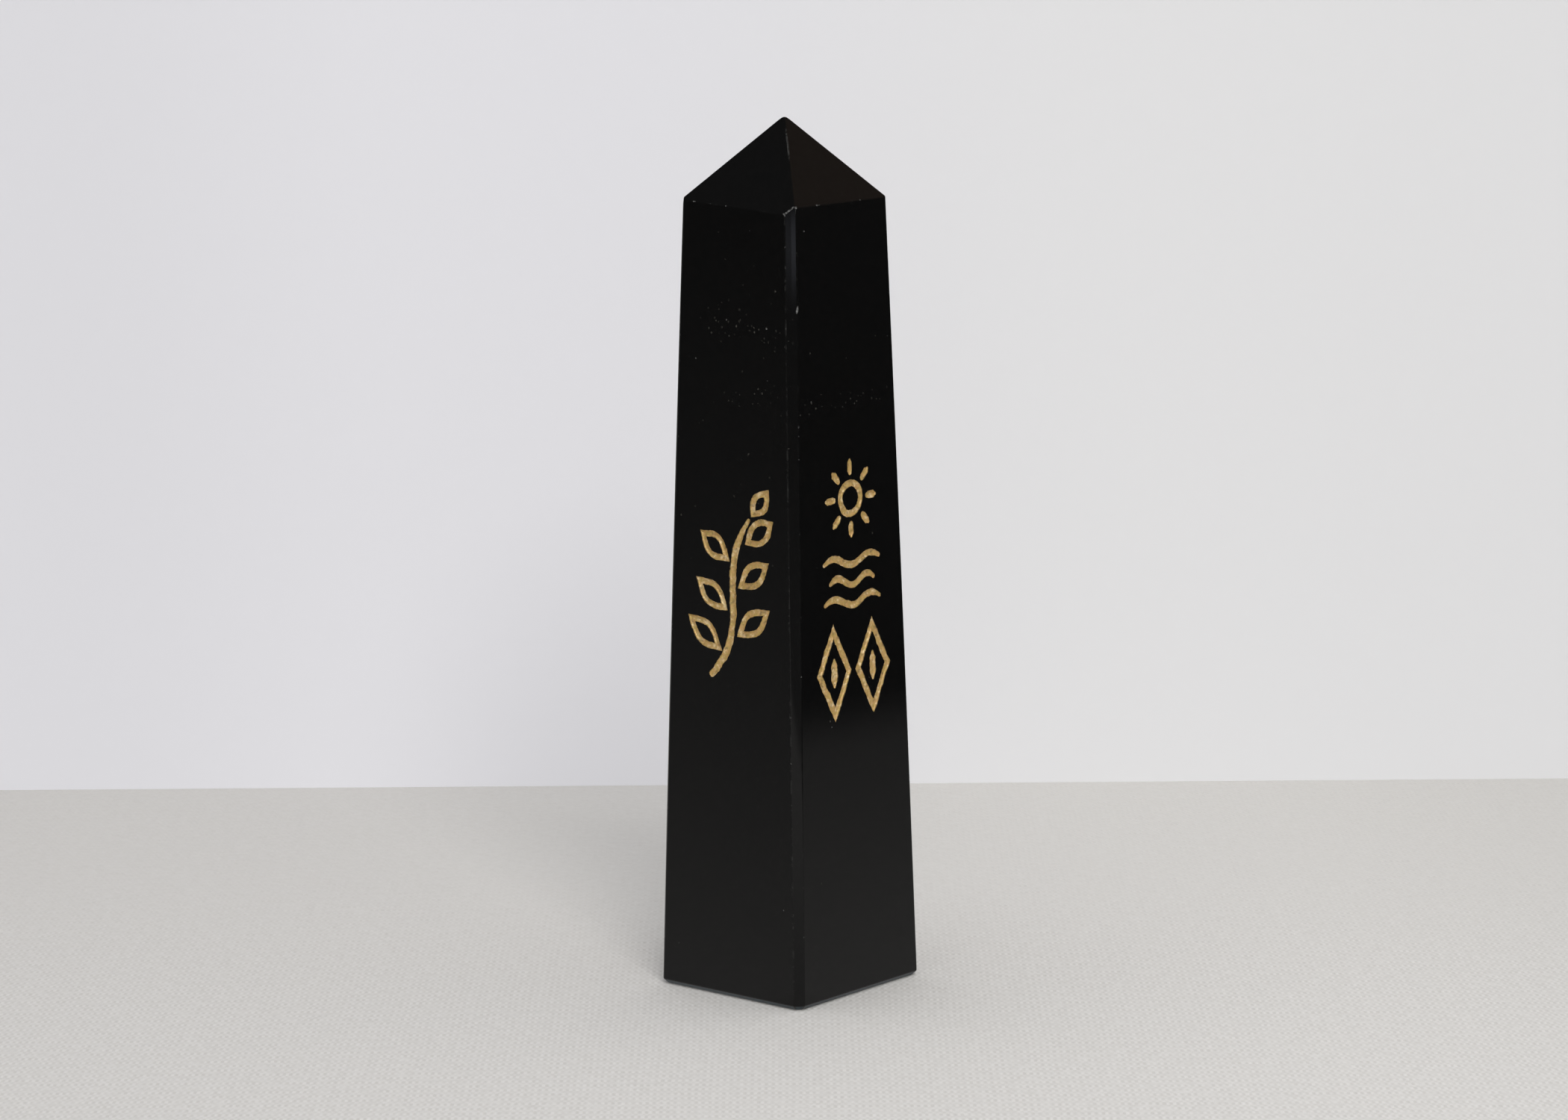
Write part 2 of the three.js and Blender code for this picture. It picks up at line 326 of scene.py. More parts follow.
def polished_stone():
    """Black, with small greyish mineral grains that gather in a few drifts, most on the front."""
    made, n = material("polished_black_stone")
    at = n.place()
    place = n.add("ShaderNodeSeparateXYZ", {0: at})
    x, y, z = (place.outputs[axis] for axis in "XYZ")
    slant = n.plus(z, n.times(n.noise(at, 150, 1.0), 0.003))
    main = near(n, slant, 0.0784, 0.0006, 0.0024)
    main = n.times(main, near(n, x, 0.003, 0.0042, 0.009))
    lower = near(n, slant, 0.0708, 0.0004, 0.0012)
    lower = n.times(lower, near(n, x, 0.002, 0.002, 0.0045))
    stray = n.times(near(n, z, 0.069, 0.008, 0.024), 0.075)
    side = n.times(near(n, z, 0.0685, 0.0006, 0.0016), 0.45)
    front = n.ramp(y, -0.0086, -0.0082, 1.0, 0.0)
    ahead = n.math("MAXIMUM", n.math("MAXIMUM", main, n.times(lower, 0.9)), stray)
    gathered = n.blend(front, n.math("MAXIMUM", side, 0.008), ahead)
    density = n.times(gathered, n.ramp(n.noise(at, 420, 2.0), 0.38, 0.54, 0.35, 1.0))
    wobble = n.add("ShaderNodeTexNoise", {"Vector": at, "Scale": 4200}).outputs["Color"]
    grains = n.cells(n.vector("ADD", at, n.vector("MULTIPLY", wobble, (0.00024,) * 3)), 1900)
    chance = n.add("ShaderNodeSeparateColor", {0: grains.outputs["Color"]})
    chosen = n.math("LESS_THAN", chance.outputs[0], density)
    size = n.ramp(chance.outputs[1], 0.0, 1.0, 0.15, 0.38, smooth=False)
    grain = n.ramp(n.over(grains.outputs["Distance"], size), 0.2, 1.0, 1.0, 0.0)
    broken_up = n.ramp(n.noise(at, 6500, 2.0), 0.35, 0.6, 0.3, 1.0)
    grain = n.times(n.times(chosen, grain), broken_up)
    lonely = n.cells(at, 480)
    pick = n.ramp(lonely.outputs["Color"], 0.92, 0.97, 0.0, 0.055)
    speck = n.math("LESS_THAN", lonely.outputs["Distance"], pick)
    rare = n.math("POWER", chance.outputs[2], 2.0)
    tint = n.blend(rare, (0.022, 0.0215, 0.018, 1), (0.085, 0.082, 0.07, 1))
    colour = n.blend(grain, black_body(n, at), tint)
    colour = n.blend(n.times(speck, 0.8), colour, (0.025, 0.025, 0.024, 1))
    rough = n.plus(0.042, n.times(n.math("MAXIMUM", grain, speck), 0.25))
    polished(n, at, colour, rough)
    return made


FLAT_TOP = Vector((7.8, -8.43, 90.35))  # the middle of the front corner flat's bruised top edge
NEAR_TIP = Vector((2.7, -2.7, 97.4))  # a bruised stretch of the ridge above it


def worn_stone():
    """The strip along an edge, where the polish is worn and bruised pale in places."""
    made, n = material("worn_edge")
    at = n.place()
    stretches = n.ramp(n.noise(at, 700, 4.0, 0.65), 0.5, 0.66, 0.004, 0.045)
    bits = n.ramp(n.noise(at, 2400, 3.0, 0.6), 0.56, 0.7, 0.0, 0.14)
    bits = n.times(bits, n.ramp(n.noise(at, 190, 1.0), 0.45, 0.6))
    # The edges that lie in the front side are the most worn.
    behind = n.dot(at, (0, 1, (SHOULDER_Y - FOOT_Y) / 2 / SHOULDER_HEIGHT))
    front = n.ramp(behind, -0.01095, -0.0105, 1.0, 0.25)
    height = n.add("ShaderNodeSeparateXYZ", {0: at}).outputs["Z"]
    front = n.times(front, n.ramp(height, 0.0892, 0.0899, 1.0, 0.35))
    front = n.times(front, n.ramp(height, 0.001, 0.002, 0.3, 1.0))
    top = n.ramp(n.vector("DISTANCE", at, tuple(FLAT_TOP * MM)), 0.0006, 0.0008, 0.7, 0.0)
    tip = n.ramp(n.vector("DISTANCE", at, tuple(NEAR_TIP * MM)), 0.0014, 0.003, 0.16, 0.0)
    gritty = n.ramp(n.noise(at, 3000, 3.0, 0.7), 0.38, 0.6, 0.1, 1.0)
    struck = n.times(n.math("MAXIMUM", top, tip), gritty)
    worn = n.times(n.plus(stretches, bits), front)
    amount = n.math("MAXIMUM", worn, struck)
    colour = n.blend(amount, black_body(n, at), (0.23, 0.23, 0.22, 1))
    polished(n, at, colour, n.ramp(amount, 0.0, 0.4, 0.06, 0.6))
    return made


def broken_stone():
    """The bruised, unpolished stone in a chip or a pit, which looks pale."""
    made, n = material("broken_stone")
    at = n.place()
    grit = n.noise(at, 9000, 3.0, 0.6)
    patch = n.ramp(n.noise(at, 3200, 2.0), 0.34, 0.62)
    pale = n.blend(grit, (0.07, 0.07, 0.068, 1), (0.27, 0.27, 0.262, 1))
    colour = n.blend(patch, grey(0.025), pale)
    n.surface(**{"Base Color": colour, "Roughness": 0.8, "Normal": n.bump(grit, 0.00003, 0.6),
                 "Specular IOR Level": 0.3})
    return made


def ground_stone(name, dark, light, rough):
    """Stone left as the wheel or the graver cut it."""
    made, n = material(name)
    at = n.place()
    grit = n.noise(at, 7000, 3.0, 0.6)
    patch = n.ramp(n.noise(at, 1600, 3.0, 0.7), 0.35, 0.65, 0.0, 0.8)
    colour = n.blend(n.ramp(grit, 0.3, 0.75), dark, light)
    colour = n.blend(patch, colour, light)
    n.surface(**{"Base Color": colour, "Roughness": rough, "Normal": n.bump(grit, 0.00002, 0.5),
                 "Specular IOR Level": 0.4})
    return made


def gold_paint():
    """Metallic paint, brushed into the groove: grainy, in places thin, rosy or olive, with pale
    flecks that are partly its metallic grain and partly painted glints.
    """
    made, n = material("gold_paint")
    at = n.place()
    grain = n.noise(at, 6500, 3.0, 0.65)
    tint = n.ramp(n.noise(at, 2600, 3.0, 0.6), 0.38, 0.62)
    colour = n.blend(tint, (0.61, 0.435, 0.135, 1), (0.69, 0.43, 0.17, 1))
    colour = n.blend(n.ramp(grain, 0.3, 0.7, 0.42, 0.0), colour, (0.34, 0.22, 0.08, 1))
    # Pale flecks: partly the paint's metallic grain, partly painted glints of light.
    pale = n.ramp(n.noise(at, 1400, 3.0, 0.65), 0.5, 0.68, 0.0, 0.75)
    colour = n.blend(pale, colour, (0.95, 0.76, 0.45, 1))
    thin = n.ramp(n.noise(at, 1500, 4.0, 0.65), 0.53, 0.68, 0.0, 0.6)
    colour = n.blend(thin, colour, (0.2, 0.14, 0.07, 1))
    metallic = n.ramp(n.noise(at, 3000, 2.0), 0.3, 0.7, 0.2, 0.45)
    rough = n.ramp(grain, 0.3, 0.7, 0.5, 0.34)
    flakes = n.cells(at, 14000).outputs["Distance"]
    height = n.plus(grain, n.times(flakes, 0.4))
    n.surface(**{"Base Color": colour, "Metallic": metallic, "Roughness": rough,
                 "Normal": n.bump(height, 0.00004, 0.6), "Specular IOR Level": 0.5})
    return made


POLISHED, WORN, BROKEN, GOLD = polished_stone(), worn_stone(), broken_stone(), gold_paint()
# The foot bevel: a rough ground finish, its pale bluish grey partly painted reflection over the
# stone's own dark tone.
FOOT_WITH_PAINTED_REFLECTION = ground_stone("foot_with_painted_reflection", (0.011, 0.019, 0.024, 1), (0.027, 0.047, 0.058, 1), 0.5)
GROOVE_WALL = ground_stone("groove_wall", grey(0.008), grey(0.03), 0.42)
STONE_MATERIALS = [POLISHED, WORN, FOOT_WITH_PAINTED_REFLECTION]  # of the stone's own outside, by their order

# ---- Stroke lines, in a face's frame ----

DRIFT = 0.06  # how far a stroke's middle strays, in millimetres
SWAY, RAGGED = 0.2, 0.16  # how far its borders stray, slowly and quickly, of its half width
UNEVEN_DEPTH = 0.14
END_REACHES = (0.35, 0.62, 0.82, 0.94, 0.99)  # of the end's radius


class Stroke:
    """A groove's middle line and its width, with round ends unless it closes on itself."""

    def __init__(self, name, line, width, closed=False, taper=(0.6, 0.6)):
        self.name, self.width, self.closed, self.taper = name, width, closed, taper
        self.line = [Vector(p) for p in line]
        self.seed = 7.3 * len(name) + sum(ord(c) for c in name) * 0.37

    def unsteady(self, p, scale, salt):
        """Smooth noise from -1 to 1 at a place, so that a closed line meets itself."""
        return noise.noise(Vector((p.x * scale, p.y * scale, self.seed + salt)))

    def sideways(self, i):
        """Across the line at a point, longer at a corner so that the band keeps its width."""
        line, count = self.line, len(self.line)
        before = line[i] - line[i - 1] if self.closed or i > 0 else None
        after = line[(i + 1) % count] - line[i] if self.closed or i < count - 1 else None
        before, after = before or after, after or before
        ahead = (before.normalized() + after.normalized()).normalized()
        return Vector((-ahead.y, ahead.x)) / ahead.dot(after.normalized())

    def stations(self, step):
        """(place, sideways, width share) along the line, a step apart."""
        line = self.line
        if self.closed:
            legs = [(i, (i + 1) % len(line)) for i in range(len(line))]
        else:
            legs = [(i, i + 1) for i in range(len(line) - 1)]
        lengths = [(line[b] - line[a]).length for a, b in legs]
        total = sum(lengths)
        rows, run = [], 0.0
        for (a, b), length in zip(legs, lengths):
            side_a, side_b = self.sideways(a), self.sideways(b)
            count = max(1, round(length / step))
            for k in range(count):
                t = k / count
                rows.append((line[a].lerp(line[b], t), side_a.lerp(side_b, t), run + length * t))
            run += length
        if not self.closed:
            rows.append((line[-1], self.sideways(len(line) - 1), total))
        shares = []
        for place, side, run in rows:
            t = run / total
            full = 1 if self.closed else min(1, self.taper[0] + 3 * t, self.taper[1] + 3 * (1 - t))
            shares.append((place, side, full))
        if self.closed:
            return shares
        return self.round_end(shares, 0)[::-1] + shares + self.round_end(shares, -1)

    def round_end(self, shares, end):
        """Stations past one end of the line, where the groove narrows to nothing."""
        place, side, full = shares[end]
        away = Vector((side.y, -side.x)) if end == -1 else Vector((-side.y, side.x))
        radius = self.width * full / 2
        rows = []
        for reach in END_REACHES:
            share = full * math.sqrt(1 - reach * reach)
            rows.append((place + away * (radius * reach), side, share))
        return rows

    def band(self, step):
        """(place, left edge, right edge, depth share) with the hand's unsteadiness."""
        rows = []
        for place, side, share in self.stations(step):
            half = self.width * share / 2
            drift = DRIFT * self.unsteady(place, 0.75, 0) * min(1, share * 1.5)
            middle = place + side * drift
            edges = []
            for sign, salt in ((1, 10), (-1, 20)):
                sway = SWAY * self.unsteady(place, 0.9, salt)
                ragged = RAGGED * self.unsteady(place, 4.2, salt + 3)
                edges.append(middle + side * (sign * half * (1 + sway + ragged)))
            depth = math.sqrt(share) * (1 + UNEVEN_DEPTH * self.unsteady(place, 1.1, 30))
            rows.append((middle, edges[0], edges[1], depth))
        return rows


def sweep(rows, section, closed):
    """Points and faces of a closed solid whose cross-section follows a band.

    The section gives (across, height) pairs round its outline for a depth share: across from -1 at
    the left edge to 1 at the right one, height in millimetres from the face.
    """
    points, faces = [], []
    for middle, left, right, depth in rows:
        outline = section(middle, depth)
        for across, height in outline:
            edge = right if across > 0 else left
            place = middle.lerp(edge, abs(across))
            points.append((place.x, place.y, height))
    size, count = len(outline), len(rows)
    for i in range(count if closed else count - 1):
        a, b = i * size, (i + 1) % count * size
        for k in range(size):
            j = (k + 1) % size
            faces.append((a + k, a + j, b + j, b + k))
    if not closed:
        faces.append(tuple(range(size)))
        faces.append(tuple((count - 1) * size + k for k in range(size)))
    return points, faces


GROOVE_SHAPE = ((1.0, 0.0), (0.97, 0.28), (0.86, 0.62), (0.62, 0.88), (0.25, 1.0))
ABOVE_FACE = 0.3


def groove_section(middle, depth):
    """A U-shaped groove, open above the face."""
    half = [(across, -GROOVE_DEPTH * depth * share) for across, share in GROOVE_SHAPE]
    mirrored = [(-across, height) for across, height in half]
    return [(1, ABOVE_FACE)] + half + mirrored[::-1] + [(-1, ABOVE_FACE)]


PAINT_SIDE = 0.965  # of the groove's half width
PAINT_UNDER = 0.012


def paint_section(stroke):
    def section(middle, depth):
        """A skin of paint that hollows towards the groove's middle."""
        top = []
        for k in range(11):
            across = -1 + 0.2 * k
            hollow = 0.62 * (1 - abs(across) ** 2.6) * GROOVE_DEPTH * depth
            spot = middle + Vector((across * 0.31, across * 0.17))
            lumps = 0.022 * stroke.unsteady(spot, 4.5, 40) * ((1 - across * across) * depth)
            top.append((across * PAINT_SIDE, -0.025 - hollow + lumps))
        low = [(across * PAINT_SIDE, PAINT_UNDER - GROOVE_DEPTH * depth * share)
               for across, share in GROOVE_SHAPE[1:]]
        low = [(min(0.99 * PAINT_SIDE, a), min(h, -0.045)) for a, h in low]
        mirrored = [(-a, h) for a, h in low]
        return top + low + mirrored[::-1]
    return section


# ---- The ornaments' lines ----


def xy(x, y):
    """A place or a step in a face's own plane, right and up."""
    return Vector((x, y))


def turned_by(p, origin, angle):
    sine, cosine = math.sin(angle), math.cos(angle)
    d = p - origin
    return origin + xy(d.x * cosine - d.y * sine, d.x * sine + d.y * cosine)


def on_circle(centre, radius, angle):
    return centre + xy(radius * math.cos(angle), radius * math.sin(angle))


def ring(centre, radius, count=36):
    return [on_circle(centre, radius, 2 * math.pi * i / count) for i in range(count)]


def arc(centre, radius, start, end, count=30):
    return [on_circle(centre, radius, mix(start, end, i / (count - 1))) for i in range(count)]


OVAL_SHARES = (0, 0.17, 0.25, 0.33, 0.42, 0.5, 0.58, 0.67, 0.75, 0.83)


def pointed_oval(root, length, width, angle):
    def flank(sign):
        return [root + xy(sign * width * math.sin(math.pi * t) / 2, length * t)
                for t in OVAL_SHARES]
    outline = flank(1) + [root + xy(0, length)] + flank(-1)[:0:-1]
    return [turned_by(p, root, angle) for p in outline]


def lozenge(centre, half_width, half_height):
    return [centre + xy(x * half_width, y * half_height)
            for x, y in ((0, -1), (1, 0), (0, 1), (-1, 0))]


def wave(middle, length, count=45):
    points = []
    for i in range(count):
        t = i / (count - 1)
        points.append(middle + xy((t - 0.5) * length, 0.5 * math.sin(3 * math.pi * t)))
    return points


def bezier(points, t):
    while len(points) > 1:
        points = [a.lerp(b, t) for a, b in zip(points, points[1:])]
    return points[0]


def sprig():
    ends = [xy(*p) for p in ((-2.6, 37.4), (3.4, 43), (-2.4, 49), (2.6, 55.4))]

    def ahead_at(t):
        return (bezier(ends, t + 0.001) - bezier(ends, t - 0.001)).normalized()

    stem = [bezier(ends, i / 60) for i in range(61)]
    strokes = [Stroke("sprig_stem", stem, SPRIG_STEM, taper=(1, 0.5))]
    for i in range(6):
        t = 0.15 + 0.15 * i
        sign = 1 if i % 2 == 0 else -1
        ahead = ahead_at(t)
        root = bezier(ends, t) + xy(-ahead.y, ahead.x) * (sign * 1.25)
        oval = pointed_oval(root, 5 - 0.2 * i, 2.2, sign * math.radians(54))
        strokes.append(Stroke(f"sprig_leaf_{i + 1}", oval, LOOP_STROKE, closed=True))
    ahead = ahead_at(0.999)
    bud = pointed_oval(bezier(ends, 1) + ahead * 1.05, 3.1, 1.8, math.atan2(-ahead.x, ahead.y))
    strokes.append(Stroke("sprig_bud", bud, LOOP_STROKE, closed=True))
    return strokes


def sun_over_waves():
    centre = xy(0.2, 57.4)
    strokes = [Stroke("sun_ring", ring(centre, 1.75), STROKE, closed=True)]
    for i in range(8):
        angle = -math.pi * i / 4
        ends = [turned_by(centre + xy(0, reach), centre, angle) for reach in (2.95, 4.3)]
        strokes.append(Stroke(f"sun_ray_{i + 1}", ends, STROKE, taper=(0.8, 0.5)))
    for i, width in enumerate((9.6, 7.6, 9.6)):
        line = wave(xy(0.1, 50.3 - 2.3 * i), width)
        strokes.append(Stroke(f"wave_{i + 1}", line, STROKE))
    for side, x in (("left", -3.4), ("right", 3.4)):
        middle = xy(x, 37.8)
        seed = [middle - xy(0, 1.5), middle + xy(0, 1.5)]
        strokes.append(Stroke(f"lozenge_{side}", lozenge(middle, 2.6, 4.8), STROKE, closed=True))
        strokes.append(Stroke(f"seed_{side}", seed, 1.1, taper=(0.35, 0.35)))
    return strokes


def rosette_over_waves():
    heart = xy(0, 52.6)
    strokes = [Stroke("rosette_ring", ring(heart, 1.15, 28), LOOP_STROKE, closed=True)]
    for i in range(8):
        angle = -math.pi * i / 4
        root = turned_by(heart + xy(0, 2.5), heart, angle)
        oval = pointed_oval(root, 3.5, 1.9, angle)
        strokes.append(Stroke(f"rosette_petal_{i + 1}", oval, LOOP_STROKE, closed=True))
    for i, width in enumerate((11, 7.6)):
        line = wave(xy(0, 42.4 - 2.4 * i), width)
        strokes.append(Stroke(f"pool_wave_{i + 1}", line, STROKE))
    return strokes


def moon_over_hills():
    moon = arc(xy(1.9, 56.6), 2.5, math.radians(60), math.radians(285))
    strokes = [Stroke("moon", moon, 1, taper=(0.35, 0.35))]
    for i, (x, y) in enumerate(((-4.3, 58), (-2.3, 54.6), (-5.4, 54))):
        ends = [xy(x, y - 0.2), xy(x, y + 0.2)]
        strokes.append(Stroke(f"star_{i + 1}", ends, 1, taper=(0.8, 0.8)))
    high = ((-6.1, 43.4), (-4, 47.5), (-1.9, 51.6), (-0.2, 48.5), (1.5, 45.4))
    low = ((1.6, 48.5), (2.9, 50.2), (4.5, 46.9), (6.1, 43.6))
    for name, line in (("hill_high", high), ("hill_low", low)):
        strokes.append(Stroke(name, line, STROKE))
    for i, width in enumerate((11.4, 8.8, 6.2)):
        line = wave(xy(0, 41 - 2.3 * i), width)
        strokes.append(Stroke(f"lake_wave_{i + 1}", line, STROKE))
    return strokes


ORNAMENTS = {
    "front": sprig(),
    "right": sun_over_waves(),
    "back": rosette_over_waves(),
    "left": moon_over_hills(),
}


def on_face(face, points):
    """Points of a face's frame, in the stone's own frame and with its bow."""
    frame_matrix = np.array(face.frame)
    points = np.array(points)
    placed = points @ frame_matrix[:3, :3].T + frame_matrix[:3, 3]
    return crowned(placed)


def groove_cutter():
    """One mesh that holds the cutters of all the grooves."""
    points, faces = [], []
    for side, strokes in ORNAMENTS.items():
        face = FACES[side]
        for stroke in strokes:
            solid_points, solid_faces = sweep(stroke.band(face.step), groove_section, stroke.closed)
            faces += [tuple(len(points) + i for i in corners) for corners in solid_faces]
            points += list(on_face(face, solid_points))
    cutter = mesh_object("groove_cutter", points, faces, [GROOVE_WALL])
    close_outward(cutter.data)
    return cutter


def fill_grooves():
    """One piece of paint in each groove."""
    for side, strokes in ORNAMENTS.items():
        face = FACES[side]
        for stroke in strokes:
            points, faces = sweep(stroke.band(face.step), paint_section(stroke), stroke.closed)
            piece = mesh_object(f"paint_{stroke.name}", on_face(face, points), faces, [GOLD])
            close_outward(piece.data)
            piece.data.shade_smooth()
            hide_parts(f"gold_{stroke.name}")
            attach(piece, "root")


# ---- The stone's body ----


class Plane:
    """A flat that is ground on the stone, through three points or square to a given direction."""

    def __init__(self, kind, a, b=None, c=None, normal=None):
        self.kind = kind
        self.point = Vector(a)
        if normal is None:
            normal = (Vector(b) - Vector(a)).cross(Vector(c) - Vector(a)).normalized()
            inside = Vector((0, 0, 50)) - self.point
            if inside.dot(normal) > 0:
                normal.negate()
        self.normal = Vector(normal)


def stone_planes():
    """The stone's flat faces, in the order in which they are ground."""
    top = SHOULDER_HEIGHT
    planes = []
    for face in FACES.values():
        a, b = face.at(-1, -face.out(0), 0), face.at(1, -face.out(0), 0)
        planes.append(Plane("side", a, b, face.at(0, -face.out(top), top)))
    for face in FACES.values():
        def on(z):
            return face.at(face.across(z) - flat_reach(z), -face.out(z), z)
        across = face.at(face.across(0), flat_reach(0) - face.out(0), 0)
        planes.append(Plane("corner", on(0), across, on(top)))
    for face in FACES.values():
        planes.append(Plane("tip", APEX, face.shoulder(-1), face.shoulder(1)))
    for face in FACES.values():
        x, y, reach = (size(FOOT_BEVEL) for size in (face.across, face.out, flat_reach))
        planes.append(Plane("foot", face.at(-1, -y, FOOT_BEVEL), face.at(1, -y, FOOT_BEVEL),
                            face.at(0, FOOT_BEVEL - y, 0)))
        planes.append(Plane("foot", face.at(x - reach, -y, FOOT_BEVEL),
                            face.at(x, reach - y, FOOT_BEVEL),
                            face.at(x - reach - FOOT_BEVEL * math.sqrt(2), -y, 0)))
    planes.append(Plane("base", (0, 0, 0), normal=(0, 0, -1)))
    return planes


STONE_PLANES = stone_planes()
CORNER_FLATS = [plane for plane in STONE_PLANES if plane.kind == "corner"]
TIP_FACES = [plane for plane in STONE_PLANES if plane.kind == "tip"]
DOME_CENTRE = Vector((APEX.x, APEX.y, 100 - TIP_RADIUS))
DOME_MATCH = 0.03  # how near to the tip's sphere a point lies when it is on it
PLANE_MATCH = 0.002  # and how near to a ground plane
SAME_PLANE = 1e-5
SAWN_BLOCK = (40, 40, 101)
SAWN_MIDDLE = 50.4  # the block's, so that it holds all of the stone
SHORTEST_WORN_EDGE = 0.15  # so that the slivers at a corner don't limit the wear
LEAST_WORN_ANGLE = 0.05  # radians
BOW_RINGS = 25  # rings of points up the sides, which their bow bends


def cut_away(body, point, normal):
    """Grinds everything beyond a plane off a convex body and closes it with one face."""
    geometry = body.verts[:] + body.edges[:] + body.faces[:]
    cut = bmesh.ops.bisect_plane(body, geom=geometry, dist=SAME_PLANE, plane_co=point,
                                 plane_no=normal, clear_outer=True)
    rim = [e for e in cut["geom_cut"] if isinstance(e, bmesh.types.BMEdge)]
    if rim:
        bmesh.ops.contextual_create(body, geom=rim)


def steepest_tip(turn):
    """How far a plane that touches only the apex can lean, towards a direction round the axis."""
    ridge_fall = (APEX.z - SHOULDER_HEIGHT) / math.hypot(SHOULDER_X / 2, SHOULDER_Y / 2)
    off_ridge = abs((turn + math.pi / 4) % (math.pi / 2) - math.pi / 4) - math.pi / 4
    return math.atan(ridge_fall / math.cos(off_ridge))


def round_tip(body):
    for share in (0, 0.25, 0.5, 0.75, 0.93):
        around = 1 if share == 0 else 16
        for k in range(around):
            turn = 2 * math.pi * k / around
            tilt = share * steepest_tip(turn)
            normal = Vector((math.sin(tilt) * math.cos(turn), math.sin(tilt) * math.sin(turn),
                             math.cos(tilt)))
            cut_away(body, DOME_CENTRE + normal * TIP_RADIUS, normal)


def round_shoulders(body):
    """Wears down the three far corners of the shoulder, where a ridge runs into a corner flat."""
    for k in (1, 2, 3):
        flat, tips = CORNER_FLATS[k], (TIP_FACES[k], TIP_FACES[(k + 1) % 4])
        planes = (flat, *tips)
        peak = Vector(np.linalg.solve([tuple(p.normal) for p in planes],
                                      [p.point.dot(p.normal) for p in planes]))
        ridge = (tips[0].normal + tips[1].normal).normalized()
        half = flat.normal.angle(ridge) / 2
        centre = peak - (flat.normal + ridge).normalized() * (SHOULDER_ROUND / math.cos(half))
        for share in (0.2, 0.4, 0.6, 0.8):
            normal = flat.normal.slerp(ridge, share)
            cut_away(body, centre + normal * SHOULDER_ROUND, normal)


def blank_stone():
    """The stone before it is engraved: ground flats, worn edges and a rounded tip."""
    body = bmesh.new()
    bmesh.ops.create_cube(body, size=1)
    bmesh.ops.scale(body, vec=SAWN_BLOCK, verts=body.verts)
    bmesh.ops.translate(body, vec=(0, 0, SAWN_MIDDLE), verts=body.verts)
    for plane in STONE_PLANES:
        cut_away(body, plane.point, plane.normal)
    bmesh.ops.remove_doubles(body, verts=body.verts, dist=1e-4)
    bmesh.ops.dissolve_limit(body, angle_limit=1e-4, verts=body.verts, edges=body.edges)
    for face in body.faces:
        if -0.9 < face.normal.z < -0.4:
            face.material_index = STONE_MATERIALS.index(FOOT_WITH_PAINTED_REFLECTION)
    sharp = [e for e in body.edges if e.calc_length() > SHORTEST_WORN_EDGE
             and e.calc_face_angle(0) > LEAST_WORN_ANGLE]
    bmesh.ops.bevel(body, geom=sharp, offset=EDGE_ROUND, offset_type="OFFSET", segments=3,
                    profile=0.5, affect="EDGES", clamp_overlap=False,
                    material=STONE_MATERIALS.index(WORN))
    round_tip(body)
    round_shoulders(body)
    for k in range(1, BOW_RINGS + 1):
        geometry = body.verts[:] + body.edges[:] + body.faces[:]
        bmesh.ops.bisect_plane(body, geom=geometry, dist=SAME_PLANE, plane_no=UP,
                               plane_co=(0, 0, k * SHOULDER_HEIGHT / (BOW_RINGS + 1)))
    bmesh.ops.recalc_face_normals(body, faces=body.faces)
    mesh = bpy.data.meshes.new("polished_stone")
    body.to_mesh(mesh)
    body.free()
    points = np.zeros(len(mesh.vertices) * 3)
    mesh.vertices.foreach_get("co", points)
    mesh.vertices.foreach_set("co", (crowned(points) * MM).ravel())
    for finish in STONE_MATERIALS:
        mesh.materials.append(finish)
    stone = bpy.data.objects.new("polished_stone", mesh)
    scene.collection.objects.link(stone)
    return stone


EDGE_LEAN = 0.38 / 0.92  # how far an edge faces away from its side, as a slope
LUMPS = 0.5


def pebble(points, faces, centre, size, turn, rng):
    """Adds a small lumpy ball to a list of points and faces, to be cut out of the stone."""
    ball = bmesh.new()
    bmesh.ops.create_icosphere(ball, subdivisions=2, radius=1)
    seed = rng.uniform(0, 100)
    start = len(points)
    for v in ball.verts:
        lump = 1 + LUMPS * noise.noise(v.co * 1.7 + Vector((seed, 0, 0)))
        p = turn @ Vector((v.co.x * size[0], v.co.y * size[1], v.co.z * size[2])) * lump
        points.append(tuple(crowned(centre + p)[0]))
    faces += [tuple(start + v.index for v in f.verts) for f in ball.faces]
    ball.free()


def stone_edge(side, sign, z):
    """A place on one of the stone's long edges, and a turn whose Z runs out of the stone there."""
    face = FACES[side]
    place = face.at(sign * (face.across(z) - flat_reach(z)), -face.out(z), z)
    out = face.at(sign * EDGE_LEAN, -1, 0).normalized()
    return place, Matrix((UP, out.cross(UP), out)).transposed()


def shoulder_edge(side, share):
    """The same on a shoulder line."""
    face = FACES[side]
    out, along = face.at(0, -1, EDGE_LEAN).normalized(), face.at(1, 0, 0)
    return face.shoulder(share), Matrix((along, out.cross(along), out)).transposed()


def on_side(side, x, y):
    """The same on a flat side."""
    face = FACES[side]
    return Vector(face.frame @ Vector((x, y, 0))), Matrix(face.frame.to_3x3())


